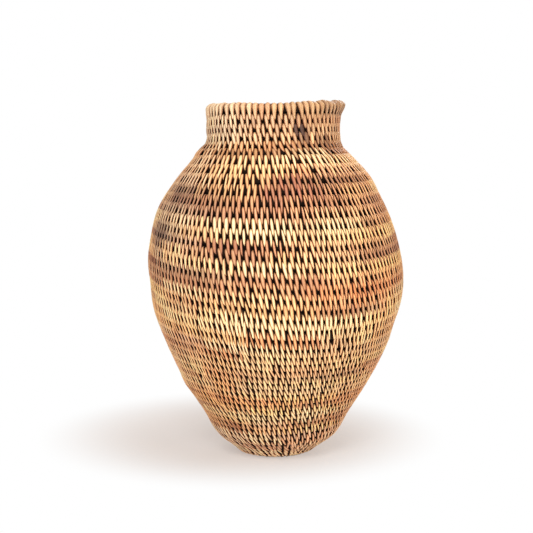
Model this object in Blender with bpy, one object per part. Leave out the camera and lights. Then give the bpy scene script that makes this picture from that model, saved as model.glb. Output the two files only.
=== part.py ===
"""A coiled basket vase.

One long rod, spliced from several lengths, winds outward from a knot in the middle of the flat base
and then up the wall, each course lying on the one before it, as far as the bound rim.
"""

import math

import bpy
import bmesh
import numpy as np

# Main sizes; the radii are those of the outer outline, and the height is that of the coil's end before its
# tail is thinned (metres)
BASKET_HEIGHT = 0.3082
BASE_RADIUS = 0.0270
BELLY_RADIUS = 0.1104
NECK_RADIUS = 0.0571
RIM_RADIUS = 0.0578

# The basket was coiled by eye: its axis wanders sideways by up to this much on the way up
AXIS_DRIFT = 0.0018

# Where the outline turns, from the base up. Three shares each: of the belly's radius, of the
# basket's height and of the drift
SOLE_SHARES = (0.353, 0.025, 0.4)
FOOT_SHARES = (0.476, 0.060, 0.7)
LOW_WALL_SHARES = (0.567, 0.118, 0.5)
WALL_SHARES = (0.657, 0.170, 0.2)
MIDDLE_WALL_SHARES = (0.854, 0.313, 0.1)
LOW_BELLY_SHARES = (0.956, 0.410, 0.0)
BELLY_SHARES = (1.0, 0.507, 0.0)
HIGH_BELLY_SHARES = (0.943, 0.637, -0.5)
SHOULDER_SHARES = (0.766, 0.767, -0.5)
SHOULDER_TOP_SHARES = (0.615, 0.834, -0.6)

# The same for the neck, whose radii are shares of its own
NECK_FOOT_SHARES = (1.037, 0.870, -1.0)
NECK_SHARES = (1.0, 0.913, -1.0)

# Spacing of the courses along the wall: fine in the base and lower wall, coarse above
BASE_PITCH = 0.0056
LOWER_WALL_PITCH = 0.0059
MIDDLE_WALL_PITCH = 0.0072
LOW_BELLY_PITCH = 0.0092
BELLY_PITCH = 0.0073
SHOULDER_PITCH = 0.0093
NECK_PITCH = 0.0071
RIM_PITCH = 0.0090

# The sewing splint passes between two courses and holds them this far apart
SPLINT_GAP = 0.0008

# Clearance between two lengths of rod at a splice, and between the rim's rod and its binding
JOINT_GAP = 0.0003

# The knot that the coil starts from
KNOT_RADIUS = 0.0045

# Where the rod runs out at the back of the rim it thins and sinks into the course below
TAIL_LENGTH = 0.0900
TAIL_END_SHARE = 0.5

# The binding round the rim: its thickness, the width of one wrap and the groove between two wraps
BINDING_THICKNESS = 0.0013
WRAP_WIDTH = 0.0046
WRAP_GROOVE = 0.0004

# The belly's courses lie this much lower on the right side than on the left, and at the front than
# at the back
BELLY_DROP = 0.0137
FRONT_DROP = 0.0177

# The rim stands this much higher at the front than at the back
RIM_TILT = 0.0057

# The coil ends at the back of the rim
COIL_END_ANGLE = math.radians(90.0)

# Corners of a course: every turn has the same count, so neighbouring courses keep step
STEPS_PER_TURN = 20
WALL_SIDES = 6
FLOOR_SIDES = 8
SPLICE_LENGTH_SHARE = 0.7
POINTS_PER_SPAN = 24
SETTLING_ROUNDS = 4

# Millimetres in a metre, for what is printed
MILLIMETRES = 1000

# How many rods each part of the wall is made of, each spliced to the next
LOWER_WALL_COUNT = 3
BELLY_COUNT = 4
SHOULDER_COUNT = 2

TAN_COLOUR = (0.62, 0.36, 0.16)
DARK_COLOUR = (0.45, 0.25, 0.12)
STRAW_COLOUR = (0.76, 0.56, 0.30)
BROWN_COLOUR = (0.53, 0.29, 0.13)
BEIGE_COLOUR = (0.72, 0.55, 0.36)
SPLINT_ROUGHNESS = 0.62


def clear_scene():
    """Remove whatever objects the file starts with."""
    for found in list(bpy.data.objects):
        bpy.data.objects.remove(found, do_unlink=True)


def station(full_radius, shares, pitch):
    """Radius, height, course pitch and sideways drift at one place of the outer outline."""
    radius_share, height_share, drift_share = shares
    return (full_radius * radius_share, BASKET_HEIGHT * height_share, pitch, AXIS_DRIFT * drift_share)


def outline_stations():
    """Each named place where the outer outline turns, from the edge of the flat base up."""
    return {
        "base": (BASE_RADIUS, 0.0, BASE_PITCH, 0.0),
        "sole": station(BELLY_RADIUS, SOLE_SHARES, BASE_PITCH),
        "foot": station(BELLY_RADIUS, FOOT_SHARES, LOWER_WALL_PITCH),
        "low_wall": station(BELLY_RADIUS, LOW_WALL_SHARES, LOWER_WALL_PITCH),
        "wall": station(BELLY_RADIUS, WALL_SHARES, LOWER_WALL_PITCH),
        "middle_wall": station(BELLY_RADIUS, MIDDLE_WALL_SHARES, MIDDLE_WALL_PITCH),
        "low_belly": station(BELLY_RADIUS, LOW_BELLY_SHARES, LOW_BELLY_PITCH),
        "belly": station(BELLY_RADIUS, BELLY_SHARES, BELLY_PITCH),
        "high_belly": station(BELLY_RADIUS, HIGH_BELLY_SHARES, BELLY_PITCH),
        "shoulder": station(BELLY_RADIUS, SHOULDER_SHARES, SHOULDER_PITCH),
        "shoulder_top": station(BELLY_RADIUS, SHOULDER_TOP_SHARES, SHOULDER_PITCH),
        "neck_foot": station(NECK_RADIUS, NECK_FOOT_SHARES, NECK_PITCH),
        "neck": station(NECK_RADIUS, NECK_SHARES, NECK_PITCH),
        "rim": (RIM_RADIUS, BASKET_HEIGHT, RIM_PITCH, 0.0),
    }


def smooth_step(share):
    """Ease from 0 to 1, level at both ends."""
    return share**2 * (3 - 2 * share)


def station_slopes(points, chords):
    """Direction of the outline at each station; it leaves the flat base level."""
    slopes = [np.array([1.0, 0.0])]
    for place in range(1, len(points) - 1):
        before = (points[place] - points[place - 1]) / chords[place - 1]
        after = (points[place + 1] - points[place]) / chords[place]
        shared = chords[place - 1] + chords[place]
        slopes.append((before * chords[place] + after * chords[place - 1]) / shared)
    slopes.append((points[-1] - points[-2]) / chords[-1])
    return slopes


def outer_outline():
    """The smooth outline from the base's middle to the rim: radius, height and course pitch."""
    stations = np.array(list(outline_stations().values()))
    points = stations[:, :2]
    chords = np.linalg.norm(np.diff(points, axis=0), axis=1)
    slopes = station_slopes(points, chords)
    rows = [(0.0, 0.0, BASE_PITCH)]
    for place, chord in enumerate(chords):
        for count in range(POINTS_PER_SPAN):
            share = count / POINTS_PER_SPAN
            ease = smooth_step(share)
            point = (
                points[place] * (1 - ease)
                + points[place + 1] * ease
                + slopes[place] * chord * share * (1 - share) ** 2
                - slopes[place + 1] * chord * share**2 * (1 - share)
            )
            pitch = stations[place, 2] * (1 - ease) + stations[place + 1, 2] * ease
            rows.append((point[0], point[1], pitch))
    rows.append(tuple(stations[-1, :3]))
    return np.array(rows)


class CourseTrack:
    """The line in a half plane through the axis that the middles of all courses lie on."""

    def __init__(self, outline):
        line = outline[:, :2]
        slopes = np.gradient(line, axis=0)
        slopes[0] = (1.0, 0.0)
        slopes[1] = (1.0, 0.0)
        slopes /= np.linalg.norm(slopes, axis=1)[:, None]
        outward = np.stack([slopes[:, 1], -slopes[:, 0]], axis=1)
        self.half = (outline[:, 2] - SPLINT_GAP) / 2
        # A course meets the floor with a face, and the outline higher up with a corner
        tilt = np.arccos(np.clip(-outward[:, 1], 0.0, 1.0))
        wall_share = np.clip(tilt * FLOOR_SIDES / math.pi, 0.0, 1.0)
        corner_share = 1 / math.cos(math.pi / WALL_SIDES)
        reach = self.half * (1 + (corner_share - 1) * wall_share)
        self.middle = line - outward * reach[:, None]
        self.outward = outward
        steps = np.linalg.norm(np.diff(self.middle, axis=0), axis=1)
        self.along = np.concatenate([[0.0], np.cumsum(steps)])
        self.length = self.along[-1] - self.half[-1]

    def at(self, along):
        """Middle, outward direction and half width of a course at a length along the track."""
        middle = np.array([np.interp(along, self.along, self.middle[:, axis]) for axis in range(2)])
        outward = np.array([np.interp(along, self.along, self.outward[:, axis]) for axis in range(2)])
        outward /= np.linalg.norm(outward)
        return middle, outward, self.half_at(along)

    def half_at(self, along):
        """Half the width of a course, measured along the track."""
        return float(np.interp(along, self.along, self.half))

    def fan_allowance(self, lower, upper):
        """Extra room for two courses where the wall bends, as their facing sides aren't parallel."""
        _, lower_outward, half = self.at(lower)
        _, upper_outward, _ = self.at(upper)
        bend = math.acos(min(1.0, float(np.dot(lower_outward, upper_outward))))
        return half * math.tan(math.pi / WALL_SIDES) * bend

    def along_at_height(self, height):
        """Length along the track at which it reaches a height."""
        return float(np.interp(height, self.middle[:, 1], self.along))


def wind_coil(track, tail_shares):
    """Lay the rod corner by corner, each course on the one below: lengths along the track, half widths."""
    first_half = track.half_at(0.0)
    start = KNOT_RADIUS + SPLINT_GAP + first_half
    places = []
    halves = []
    total = len(tail_shares) if tail_shares is not None else None
    while total is None or len(places) < total:
        corner = len(places)
        share = tail_shares[corner] if tail_shares is not None else 1.0
        if corner < STEPS_PER_TURN:
            along = start + BASE_PITCH * corner / STEPS_PER_TURN
            half = first_half
        else:
            below = places[corner - STEPS_PER_TURN]
            half = halves[corner - STEPS_PER_TURN]
            edge = below + half + SPLINT_GAP
            along = edge + half
            for _ in range(SETTLING_ROUNDS):
                half = track.half_at(along) * share
                along = edge + half + track.fan_allowance(below, along)
        if total is None and along > track.length:
            break
        places.append(along)
        halves.append(half)
    return np.array(places), np.array(halves)


def tail_shares_for(corner_count):
    """Thickness of the rod at each corner: whole, but thinning evenly in the tail at the rim."""
    corner_spacing = 2 * math.pi * RIM_RADIUS / STEPS_PER_TURN
    distances = np.arange(corner_count)[::-1] * corner_spacing
    return np.interp(distances, (0.0, TAIL_LENGTH), (TAIL_END_SHARE, 1.0))


def lean(point, stations):
    """Give a point of the true coil the basket's own lean: of the belly, of the rim and of the axis."""
    x, y, z = point
    low = stations["foot"][1]
    high = stations["neck_foot"][1]
    share = min(max((z - low) / (high - low), 0.0), 1.0)
    swell = math.sin(math.pi * share) ** 2
    drop = swell * (BELLY_DROP * x - FRONT_DROP * y) / (2 * BELLY_RADIUS)
    rim_share = smooth_step(max(2 * share - 1, 0.0))
    rise = rim_share * -RIM_TILT * y / (2 * NECK_RADIUS)
    heights = [row[1] for row in stations.values()]
    drifts = [row[3] for row in stations.values()]
    return (x + np.interp(z, heights, drifts), y, z - drop + rise)


class Coil:
    """The whole rod as one run of rings, which the pieces below are cut from."""

    def __init__(self, track):
        places, _ = wind_coil(track, None)
        self.places, self.halves = wind_coil(track, tail_shares_for(len(places)))
        self.track = track
        self.stations = outline_stations()
        self.count = len(self.places)
        self.first_angle = COIL_END_ANGLE - 2 * math.pi * (self.count - 1) / STEPS_PER_TURN

    def corner_ring(self, corner, sides, shrink):
        """Points of the rod's outline at one corner, drawn in by a shrink on every side."""
        middle, outward, _ = self.track.at(self.places[corner])
        upward = np.array([-outward[1], outward[0]])
        angle = self.first_angle + 2 * math.pi * corner / STEPS_PER_TURN
        reach = (self.halves[corner] - shrink) / math.cos(math.pi / sides)
        turn = 0.0 if sides == WALL_SIDES else math.pi / sides
        ring = []
        for side in range(sides):
            around = turn + 2 * math.pi * side / sides
            spot = middle + reach * (math.cos(around) * outward + math.sin(around) * upward)
            ring.append((spot[0] * math.cos(angle), spot[0] * math.sin(angle), spot[1]))
        return np.array([lean(point, self.stations) for point in ring])

    def ring(self, place, sides, shrink=0.0, offsets=None):
        """Points of the rod's outline at a place between corners; offsets slide them along it."""
        if offsets is None:
            offsets = np.zeros(sides)
        ring = []
        for side in range(sides):
            spot = min(max(place + offsets[side], 0.0), self.count - 1.0)
            corner = min(int(spot), self.count - 2)
            share = spot - corner
            before = self.corner_ring(corner, sides, shrink)[side]
            after = self.corner_ring(corner + 1, sides, shrink)[side]
            ring.append(before * (1 - share) + after * share)
        return np.array(ring)

    def corner_spacing(self, place):
        """Straight distance between the two corners that a place lies between."""
        corner = min(int(place), self.count - 2)
        radius = self.track.at(self.places[corner])[0][0]
        return 2 * radius * math.sin(math.pi / STEPS_PER_TURN)

    def splice_offsets(self, place, sides, shrink, end_sign):
        """How far each point of a cut end is slid, so that two lengths meet on one slanting cut."""
        spacing = self.corner_spacing(place)
        full_width = self.halves[int(place)]
        half_width = full_width - shrink
        half_cut = SPLICE_LENGTH_SHARE / 2 * half_width / full_width
        cut_angle = math.atan2(half_width, half_cut * spacing)
        clearance = JOINT_GAP / (2 * math.sin(cut_angle) * spacing)
        turn = 0.0 if sides == WALL_SIDES else math.pi / sides
        reach = 1 / math.cos(math.pi / sides)
        offsets = []
        for side in range(sides):
            around = turn + 2 * math.pi * side / sides
            offsets.append(half_cut * reach * math.cos(around) - end_sign * clearance)
        return offsets

    def rings_between(self, start, end, sides, shrink=0.0, splice_start=True, splice_end=True):
        """Rings of one length of rod between two places, which are mid-way between corners if spliced."""
        start_offsets = self.splice_offsets(start, sides, shrink, -1.0) if splice_start else None
        end_offsets = self.splice_offsets(end, sides, shrink, 1.0) if splice_end else None
        rings = [self.ring(start, sides, shrink, start_offsets)]
        for corner in range(math.floor(start) + 1, math.ceil(end)):
            rings.append(self.corner_ring(corner, sides, shrink))
        rings.append(self.ring(end, sides, shrink, end_offsets))
        return rings


def skin_rings(mesh, rings):
    """Add the rings to a mesh under construction and close the skin between them; gives the vertices."""
    made = [[mesh.verts.new(point) for point in ring] for ring in rings]
    for near, far in zip(made[:-1], made[1:]):
        for side in range(len(near)):
            next_side = (side + 1) % len(near)
            mesh.faces.new((near[side], near[next_side], far[next_side], far[side]))
    return made


def finished_object(name, mesh, colour):
    """Turn a mesh under construction into a named object with its own material."""
    bmesh.ops.triangulate(mesh, faces=mesh.faces[:])
    bmesh.ops.recalc_face_normals(mesh, faces=mesh.faces[:])
    data = bpy.data.meshes.new(name)
    mesh.to_mesh(data)
    mesh.free()
    material = bpy.data.materials.new(name + "_finish")
    material.use_nodes = True
    shader = material.node_tree.nodes["Principled BSDF"]
    shader.inputs["Base Color"].default_value = (*colour, 1.0)
    shader.inputs["Roughness"].default_value = SPLINT_ROUGHNESS
    shader.inputs["Metallic"].default_value = 0.0
    data.materials.append(material)
    made = bpy.data.objects.new(name, data)
    bpy.context.scene.collection.objects.link(made)
    return made


def rod_length(name, rings, colour):
    """One length of the coil: a tube with a cut face at each end."""
    mesh = bmesh.new()
    made = skin_rings(mesh, rings)
    mesh.faces.new(made[0])
    mesh.faces.new(made[-1])
    return finished_object(name, mesh, colour)


def rim_sleeve(name, outer_rings, inner_rings, colour):
    """The binding: a ribbed tube round the rim's rod, open at both ends where the rod comes out."""
    mesh = bmesh.new()
    outer = skin_rings(mesh, outer_rings)
    inner = skin_rings(mesh, inner_rings)
    for outer_end, inner_end in ((outer[0], inner[0]), (outer[-1], inner[-1])):
        for side in range(len(outer_end)):
            next_side = (side + 1) % len(outer_end)
            corners = (outer_end[side], outer_end[next_side], inner_end[next_side], inner_end[side])
            mesh.faces.new(corners)
    return finished_object(name, mesh, colour)


def start_knot(name, coil, colour):
    """The rod's curled start: a snail that fills the first turn and ends against the rod's end."""
    half = coil.halves[0]
    chamfer = half / 2
    last_angle = 2 * math.pi - SPLINT_GAP / coil.places[0]
    levels = [(chamfer, 0.0), (0.0, chamfer), (0.0, 2 * half - chamfer), (chamfer, 2 * half)]
    rings = []
    for inset, height in levels:
        ring = []
        for corner in range(STEPS_PER_TURN + 1):
            around = min(2 * math.pi * corner / STEPS_PER_TURN, last_angle)
            radius = KNOT_RADIUS + BASE_PITCH * around / (2 * math.pi) - inset
            angle = coil.first_angle + around
            ring.append((radius * math.cos(angle), radius * math.sin(angle), height))
        rings.append(ring)
    return rod_length(name, rings, colour)


def ring_gap(ring_a, ring_b):
    """Least distance from a corner of one ring to the edges of another in the same plane."""
    least = math.inf
    for first, second in ((ring_a, ring_b), (ring_b, ring_a)):
        starts = second
        edges = np.roll(second, -1, axis=0) - second
        for point in first:
            shares = np.sum((point - starts) * edges, axis=1) / np.sum(edges * edges, axis=1)
            shares = np.clip(shares, 0.0, 1.0)[:, None]
            least = min(least, np.min(np.linalg.norm(point - starts - shares * edges, axis=1)))
    return least


def print_least_gap(coil, foot_end):
    """Measure how near the coil comes to itself, from each corner to the one a turn above it."""
    least = math.inf
    for corner in range(coil.count - STEPS_PER_TURN):
        above = corner + STEPS_PER_TURN
        sides = FLOOR_SIDES if corner < foot_end else WALL_SIDES
        sides_above = FLOOR_SIDES if above < foot_end else WALL_SIDES
        ring = coil.corner_ring(corner, sides, 0.0)
        ring_above = coil.corner_ring(above, sides_above, 0.0)
        least = min(least, ring_gap(ring, ring_above))
    turns = (coil.count - 1) / STEPS_PER_TURN
    print(f"coil of {turns:.1f} turns, least gap to itself {least * MILLIMETRES:.2f} mm")


def place_at_length(coil, along):
    """Place mid-way between two corners, where the coil first reaches a length along the track."""
    corner = int(np.searchsorted(coil.places, along))
    return min(corner, coil.count - 2) + 0.5


def wall_cuts(coil, track, base_end, rim_start):
    """Where the wall's rod is spliced: the name and the two ends of each length."""
    stations = outline_stations()
    regions = [
        ("foot_coil", "foot", 1, DARK_COLOUR),
        ("lower_wall_coil", "middle_wall", LOWER_WALL_COUNT, TAN_COLOUR),
        ("belly_coil", "high_belly", BELLY_COUNT, BROWN_COLOUR),
        ("shoulder_coil", "neck_foot", SHOULDER_COUNT, TAN_COLOUR),
    ]
    cuts = []
    start = base_end
    for name, top, count, colour in regions:
        end = place_at_length(coil, track.along_at_height(stations[top][1]))
        for length in range(count):
            stop = math.floor(start + (end - start) * (length + 1) / count) + 0.5
            if length == count - 1:
                stop = end
            begin = cuts[-1][2] if cuts else start
            title = name if count == 1 else f"{name}_{length + 1}"
            cuts.append((title, begin, stop, colour))
        start = end
    cuts.append(("neck_coil", cuts[-1][2], rim_start, BEIGE_COLOUR))
    return cuts


def build_rim(coil, neck_end):
    """The rim's own length of rod, and the binding wrapped closely round it."""
    start = neck_end + JOINT_GAP / coil.corner_spacing(neck_end)
    end = coil.count - 1.0
    shrink = BINDING_THICKNESS + JOINT_GAP
    rod_rings = coil.rings_between(start, end, WALL_SIDES, shrink, splice_start=False, splice_end=False)
    rod = rod_length("rim_coil", rod_rings, DARK_COLOUR)
    wraps = max(1, round((end - start) * coil.corner_spacing(end) / WRAP_WIDTH))
    outer = []
    for edge in range(2 * wraps + 1):
        place = start + (end - start) * edge / (2 * wraps)
        groove = WRAP_GROOVE if edge % 2 == 0 else 0.0
        outer.append(coil.ring(place, WALL_SIDES, groove))
    inner = coil.rings_between(
        start, end, WALL_SIDES, BINDING_THICKNESS, splice_start=False, splice_end=False
    )
    binding = rim_sleeve("rim_binding", outer, inner, STRAW_COLOUR)
    return [rod, binding]


def build_basket():
    """Build every length of the coil, the knot and the rim, and gather them under one empty."""
    clear_scene()
    track = CourseTrack(outer_outline())
    coil = Coil(track)
    base_end = place_at_length(coil, BASE_RADIUS - track.half_at(0.0))
    rim_start = coil.count - 1.0 - STEPS_PER_TURN
    pieces = [start_knot("start_knot", coil, DARK_COLOUR)]
    base_rings = coil.rings_between(0.0, base_end, FLOOR_SIDES, splice_start=False)
    pieces.append(rod_length("base_coil", base_rings, DARK_COLOUR))
    cuts = wall_cuts(coil, track, base_end, rim_start)
    for name, start, end, colour in cuts:
        sides = FLOOR_SIDES if start == base_end else WALL_SIDES
        rings = coil.rings_between(start, end, sides, splice_end=end < rim_start)
        pieces.append(rod_length(name, rings, colour))
    pieces += build_rim(coil, rim_start)
    basket = bpy.data.objects.new("basket", None)
    bpy.context.scene.collection.objects.link(basket)
    for piece in pieces:
        piece.parent = basket
    print_least_gap(coil, foot_end=cuts[0][2])


build_basket()
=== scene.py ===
"""The finished look of the coiled basket: its rods, every stitch, the bound rim, floor, light and camera."""

import math

import bpy
import numpy as np
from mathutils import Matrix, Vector


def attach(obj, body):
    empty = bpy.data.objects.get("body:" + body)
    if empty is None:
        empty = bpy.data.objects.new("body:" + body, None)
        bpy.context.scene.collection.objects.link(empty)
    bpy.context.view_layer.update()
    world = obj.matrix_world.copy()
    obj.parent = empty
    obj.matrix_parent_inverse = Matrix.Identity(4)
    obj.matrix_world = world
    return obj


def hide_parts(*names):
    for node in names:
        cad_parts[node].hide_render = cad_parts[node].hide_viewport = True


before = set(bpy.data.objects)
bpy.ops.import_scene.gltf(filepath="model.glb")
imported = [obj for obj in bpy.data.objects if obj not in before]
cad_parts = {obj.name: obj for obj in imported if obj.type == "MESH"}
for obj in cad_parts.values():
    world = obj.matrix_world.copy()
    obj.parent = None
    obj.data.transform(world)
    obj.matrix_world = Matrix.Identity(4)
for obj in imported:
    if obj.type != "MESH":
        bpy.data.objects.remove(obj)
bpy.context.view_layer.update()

# The outer outline from the edge of the flat base to the rim: radius, height, course pitch, sideways drift,
# stitch pitch, how full the stitches are and how far they lean, as a share of their pitch
OUTLINE = {
    "base": (0.027, 0, 0.0056, 0, 0.0045, 1, 0.7),
    "sole": (0.039, 0.0077, 0.0056, 0.0007, 0.0045, 0.94, 1),
    "foot": (0.0526, 0.0185, 0.0059, 0.0013, 0.0044, 0.8, 0.85),
    "low_wall": (0.0626, 0.0364, 0.0059, 0.0009, 0.0043, 0.78, 0.7),
    "wall": (0.0725, 0.0524, 0.0059, 0.0004, 0.0041, 0.76, 0.78),
    "middle_wall": (0.0943, 0.0965, 0.0072, 0.0002, 0.004, 0.78, 0.8),
    "low_belly": (0.1055, 0.1264, 0.0092, 0, 0.0042, 0.84, 0.62),
    "belly": (0.1104, 0.1563, 0.0073, 0, 0.005, 0.9, 0.58),
    "high_belly": (0.1041, 0.1963, 0.0073, -0.0009, 0.005, 0.86, 0.48),
    "shoulder": (0.0846, 0.2364, 0.0093, -0.0009, 0.0046, 0.88, 0.45),
    "shoulder_top": (0.0679, 0.257, 0.0093, -0.0011, 0.0048, 0.94, 0.45),
    "neck_foot": (0.0592, 0.2681, 0.0071, -0.0018, 0.0048, 1, 0.5),
    "neck": (0.0571, 0.2814, 0.0071, -0.0018, 0.0049, 1.02, 0.55),
    "rim": (0.0578, 0.3082, 0.009, 0, 0.005, 1.12, 0.5),
}
STATIONS = np.array(list(OUTLINE.values()))
RADIUS, HEIGHT, COURSE, DRIFT, STITCH, FULLNESS, LEAN = range(7)

# How the coil is wound, as in the solids
SPLINT_GAP = 0.0008
KNOT_RADIUS = 0.0045
TAIL_LENGTH = 0.09
TAIL_END_SHARE = 0.5
COIL_END_ANGLE = math.radians(90.0)
STEPS_PER_TURN = 20
WALL_SIDES = 6
FLOOR_SIDES = 8
POINTS_PER_SPAN = 24
SETTLING_ROUNDS = 4
LOWER_WALL_COUNT = 3
BELLY_COUNT = 4
SHOULDER_COUNT = 2

# The slump: how much lower the belly's courses lie at the right than at the left and at the front than at the
# back, and how much higher the rim lies at the front
BELLY_DROP = 0.0137
FRONT_DROP = 0.0177
RIM_TILT = 0.0057

# Hand-made unevenness: how far the wall swells in and out and its courses rise and sink. Each ripple has its
# share of that, its waves round the axis, its radians over a metre of height and its phase
SWELL = 0.0007
SWELL_RIPPLES = ((1.0, 2, 21.0, 0.4), (0.7, 3, -34.0, 1.9), (0.4, 5, 55.0, 4.2))
LIFT = 0.0005
LIFT_RIPPLES = ((1.0, 2, 13.0, 2.2), (0.6, 4, -29.0, 0.7))
# Single swellings and dents: angle in degrees, height, half their width in degrees, half their height, and how
# far they reach out
DENTS = (
    (180, 0.2735, 40, 0.006, -0.0015),
    (180, 0.2625, 40, 0.005, 0.0018),
    (180, 0.211, 40, 0.02, 0.0017),
    (180, 0.144, 40, 0.014, -0.0016),
    (180, 0.062, 40, 0.008, 0.0015),
    (0, 0.243, 40, 0.012, 0.002),
    (0, 0.123, 40, 0.014, -0.0015),
)
# How far the neck has sunk and between which heights that sets in, how far the rim's course stands out at the
# right, and where the rim rises or sinks: angle in degrees, half the width, and the rise
NECK_SINK = 0.0013
NECK_SINK_FROM = 0.258
NECK_SINK_TO = 0.272
RIM_RISE_FROM = 0.29
RIM_FLARE = 0.0022
RIM_RISES = (
    (90, 60, -0.003),
    (180, 45, 0.0016),
    (0, 30, 0.001),
    (-52, 17, 0.0016),
    (-51, 4, -0.0014),
)

# Rods: how far they keep inside the splints, how much taller they are than their room, which shuts out the light
# between courses, and how many turns the rim's wraps take to set in and the rod's end to thin out
ROD_SINK = 0.0003
ROD_SWELL = 0.0006
ROD_SIDES = 10
ROD_STEPS_PER_TURN = 72
RIM_BLEND_TURNS = 0.05
END_TURNS = 0.16
END_THINNING = 0.7

# In turns of the coil: the first stitch and the innermost place of any splint, both before the coil's start, and
# how far the last stitch may lie past its end
FIRST_STITCH = -0.35
INMOST_TURN = -0.4
LAST_STITCH_PAST_END = 0.012
# The least radius that stitches are spaced for, and the least that their width is taken at
LEAST_SEWN_RADIUS = 0.002
LEAST_WIDTH_RADIUS = 0.001
# How far a stitch goes from its aim to an even spacing, the least spacing, the part of it by which the stitch
# before moves when one is left out, and how wide a gap below stays that no, one or two stitches go into
EVENING_SHARE = 0.5
CLOSEST_SHARE = 0.55
LEFT_OUT_PARTS = 3
GAP_WEIGHTS = np.array([0.55, 1.0, 1.45])
RELAXING_REACH = 4
SPACING_REACH = 2
RIM_EVENING = 0.7
# How far a stitch may lean more or less than usual, and at which station's lean it meets its aim
LEAN_ROOM = 0.7
AIM_STATION_LEAN = 0.72
LEAN_WAVE = 0.1
LEAN_RIPPLES = ((1.0, 3, 47.0, 1.1), (0.6, 7, -83.0, 2.9))

# Splints: their thickness, how many stitches one is good for, how uneven the hand has made them, and the gap that
# they keep to the floor
SPLINT_THICKNESS = 0.00046
RIM_WRAP_THICKNESS = 0.0008
RIM_PLUMPNESS = 1.8
STITCHES_PER_SPLINT = (8, 17)
NOISE_LIMIT = 2.0
PLACE_NOISE = 0.045
LEAN_NOISE = 0.08
WIDTH_NOISE = 0.13
THICKNESS_NOISE = 0.12
RIM_THICKNESS_NOISE = 0.32
BOW_NOISE = 0.07
FLOOR_GAP = 0.0002

# How a stitch runs: from the inside of its own course over the top, down the outside of two courses and up the
# inside again. "upper" is the share of its own course against the one below, "out" and "up" are shares of the oval
# that splints lie on, widths are shares of the stitch pitch, the seventh column is the share of its colour that
# the splint keeps under painted shade, which darkens it where it goes down into the wall between stitches, "lean"
# is the share of the whole lean, and "onward" the share of the way to the next stitch.
PATH_COLUMNS = ("upper", "out", "up", "width", "rim_width", "thickness", "light", "lean", "onward")
STITCH_PATH = np.array(
    [
        (1.0, -1.00, 0.00, 0.74, 0.90, 0.70, 0.80, 0.00, -0.50),
        (1.0, -0.85, 0.45, 0.68, 0.94, 0.60, 0.60, 0.00, -0.35),
        (1.0, -0.45, 0.80, 0.40, 0.96, 0.50, 0.30, 0.00, -0.15),
        (1.0, 0.00, 0.95, 0.26, 0.98, 0.50, 0.15, 0.00, 0.0),
        (1.0, 0.42, 0.82, 0.30, 1.00, 0.70, 0.25, 0.03, 0.0),
        (1.0, 0.77, 0.62, 0.40, 1.00, 0.85, 0.52, 0.07, 0.0),
        (1.0, 0.95, 0.40, 0.51, 1.00, 0.95, 0.76, 0.12, 0.0),
        (1.0, 1.00, 0.14, 0.62, 0.98, 1.00, 0.92, 0.18, 0.0),
        (0.8, 1.01, 0.00, 0.68, 0.84, 1.00, 1.00, 0.30, 0.0),
        (0.5, 1.03, 0.00, 0.69, 0.66, 1.00, 1.00, 0.45, 0.0),
        (0.2, 1.01, 0.00, 0.60, 0.58, 1.00, 0.97, 0.60, 0.0),
        (0.0, 1.00, -0.08, 0.49, 0.49, 0.95, 0.90, 0.72, 0.0),
        (0.0, 0.96, -0.30, 0.38, 0.38, 0.85, 0.75, 0.80, 0.0),
        (0.0, 0.80, -0.50, 0.28, 0.28, 0.75, 0.45, 0.87, 0.0),
        (0.0, 0.45, -0.66, 0.22, 0.22, 0.60, 0.20, 0.93, 0.0),
        (0.0, 0.00, -0.92, 0.18, 0.18, 0.50, 0.12, 1.00, 0.0),
        (0.0, -0.50, -0.80, 0.36, 0.36, 0.50, 0.30, 1.00, 0.15),
        (0.0, -0.87, -0.45, 0.64, 0.64, 0.60, 0.60, 1.00, 0.35),
        (0.0, -1.00, 0.00, 0.76, 0.78, 0.70, 0.80, 1.00, 0.50),
        (0.5, -1.02, 0.00, 0.78, 0.84, 0.75, 0.90, 1.00, 0.50),
    ]
)
PATH = dict(zip(PATH_COLUMNS, STITCH_PATH.T))
# Inside the basket, the first stations of a stitch are still the splint of the stitch before
FIRST_OWN_STATION = 4
LOWEST_STATION = 15
# The splint's section: places across it and heights over the rod, as shares of half its width and its thickness
SECTION = np.array([(-1.0, -0.45), (-0.78, 0.42), (-0.30, 1.0), (0.30, 1.0), (0.78, 0.42), (1.0, -0.45)])

# Painted highlight and painted shade over a splint: how much paler its crown is painted as a highlight, from how
# much green up in full, the palest painted highlight, the painted shade from edge to crown, how far the rim's
# wraps go without that shade, and how the painted shade where a splint goes into the wall takes each colour
CROWN_HIGHLIGHT_TINT = np.array([1.42, 1.68, 1.92])
FULL_HIGHLIGHT_GREEN = 0.34
HIGHLIGHT_CEILING = np.array([1.0, 0.84, 0.50])
EDGE_SHADE_TINTS = np.array([(0.04, 0.015, 0.01), (0.50, 0.25, 0.11), (1.0, 1.0, 1.0)])
RIM_UNSHADED_SHARE = 0.55
SHADE_POWERS = (1.0, 1.25, 1.5)

SEED = 7
rng = np.random.default_rng(SEED)


def smooth_step(share):
    """Ease from 0 to 1, level at both ends."""
    return share**2 * (3 - 2 * share)


def ease(value, start, end):
    """0 up to the start, 1 from the end on, and a smooth step between."""
    return smooth_step(np.clip((value - start) / (end - start), 0.0, 1.0))


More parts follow.
